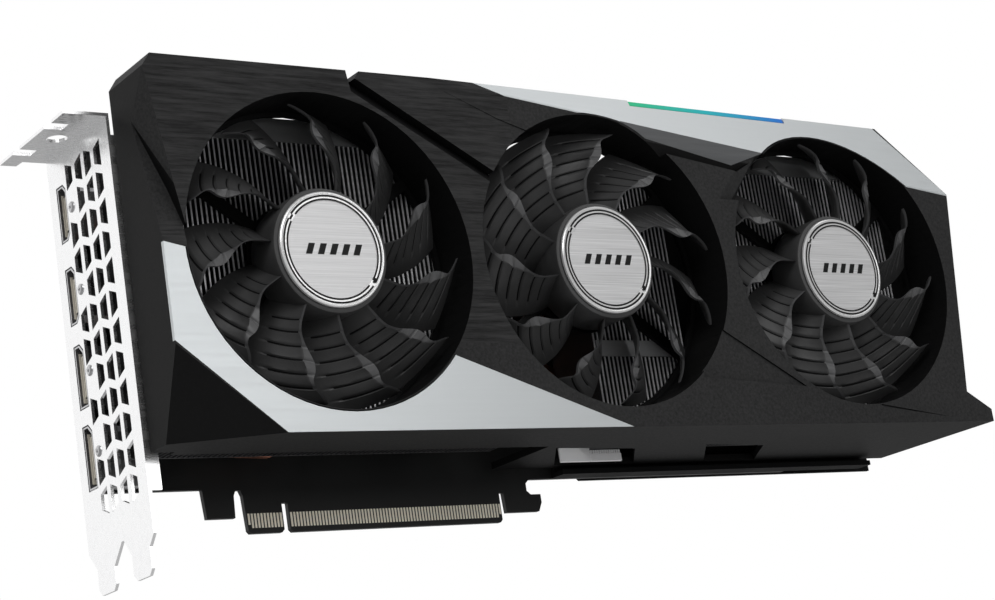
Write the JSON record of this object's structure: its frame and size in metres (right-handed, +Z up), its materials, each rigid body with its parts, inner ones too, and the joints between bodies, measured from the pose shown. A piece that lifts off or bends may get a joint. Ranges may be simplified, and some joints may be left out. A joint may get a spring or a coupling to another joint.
{
  "type": "graphics card",
  "caption": "Long dual-slot graphics card with axial fans in a faceted black shroud with silver trims, a vented slot bracket, an edge connector and a metal backplate.",
  "frame": {"origin": "outer face of the slot bracket, at the component face of the circuit board and the bottom edge of the edge connector", "axes": "+X along the card from the bracket to its far end, +Y from the fans to the backplate, +Z up from the edge connector"},
  "size_m": [0.2968, 0.0613, 0.1289],
  "materials": {
    "black_plastic": "fine brushed and matt moulded plastic",
    "fan_plastic": "matt glass-filled plastic",
    "silver_trim": "satin silver",
    "lit_plastic": "glowing diffuser",
    "board": "black solder mask",
    "aluminium": "rolled sheet",
    "badge": "brushed disc with a turned rim",
    "copper": "bare copper",
    "bright_steel": "nickel plated sheet steel",
    "black_metal": "black powder coat",
    "chip": "moulded package",
    "silicon": "polished die",
    "brass": "sintered bush",
    "ferrite": "bonded ferrite"
  },
  "bodies": {
    "card": {"shroud": "black_plastic", "lower_accent_trim": "silver_trim", "upper_accent_trim": "silver_trim", "light_bar": "lit_plastic", "cold_plate": "copper", "memory_plate": "black_metal", "circuit_board": "board", "gpu_package": "chip", "gpu_die": "silicon", "io_bracket": "bright_steel", "video_port_1": "bright_steel", "video_port_2": "bright_steel", "video_port_3": "bright_steel", "video_port_4": "bright_steel", "power_socket_1": "chip", "power_socket_2": "chip", "bios_switch_housing": "black_metal", "backplate": "black_metal", "board_frame": "black_metal", "gpu_retention_spring": "bright_steel", "fan_left_mount": "black_plastic", "fan_left_stator": "copper", "fan_left_bearing": "brass", "fan_center_mount": "black_plastic", "fan_center_stator": "copper", "fan_center_bearing": "brass", "fan_right_mount": "black_plastic", "fan_right_stator": "copper", "fan_right_bearing": "brass", "fin_stack_left": "aluminium", "fin_stack_middle": "aluminium", "fin_stack_right": "aluminium", "heat_pipe_1": "copper", "heat_pipe_2": "copper", "heat_pipe_3": "copper", "heat_pipe_4": "copper", "heat_pipe_5": "copper", "memory_chip_1": "chip", "memory_chip_2": "chip", "memory_chip_3": "chip", "memory_chip_4": "chip", "memory_chip_5": "chip", "memory_chip_6": "chip", "retention_screw_1": "bright_steel", "retention_screw_2": "bright_steel", "retention_screw_3": "bright_steel", "retention_screw_4": "bright_steel"},
    "fan_left": {"fan_left_rotor": "fan_plastic", "fan_left_badge": "badge", "fan_left_magnet_ring": "ferrite", "fan_left_shaft": "bright_steel"},
    "fan_center": {"fan_center_rotor": "fan_plastic", "fan_center_badge": "badge", "fan_center_magnet_ring": "ferrite", "fan_center_shaft": "bright_steel"},
    "fan_right": {"fan_right_rotor": "fan_plastic", "fan_right_badge": "badge", "fan_right_magnet_ring": "ferrite", "fan_right_shaft": "bright_steel"},
    "bios_slider": {"bios_switch_slider": "bright_steel"}
  },
  "joints": [
    {"name": "fan_left_spin", "type": "hinge", "parent": "card", "child": "fan_left", "pos_m": [0.0508, -0.045, 0.0641], "axis": [0, 1, 0], "continuous": true},
    {"name": "fan_center_spin", "type": "hinge", "parent": "card", "child": "fan_center", "pos_m": [0.1415, -0.045, 0.0641], "axis": [0, 1, 0], "continuous": true},
    {"name": "fan_right_spin", "type": "hinge", "parent": "card", "child": "fan_right", "pos_m": [0.2329, -0.045, 0.0641], "axis": [0, 1, 0], "continuous": true},
    {"name": "bios_switch_slide", "type": "slide", "parent": "card", "child": "bios_slider", "axis": [1, 0, 0], "range_m": [0, 0.0022]}
  ]
}
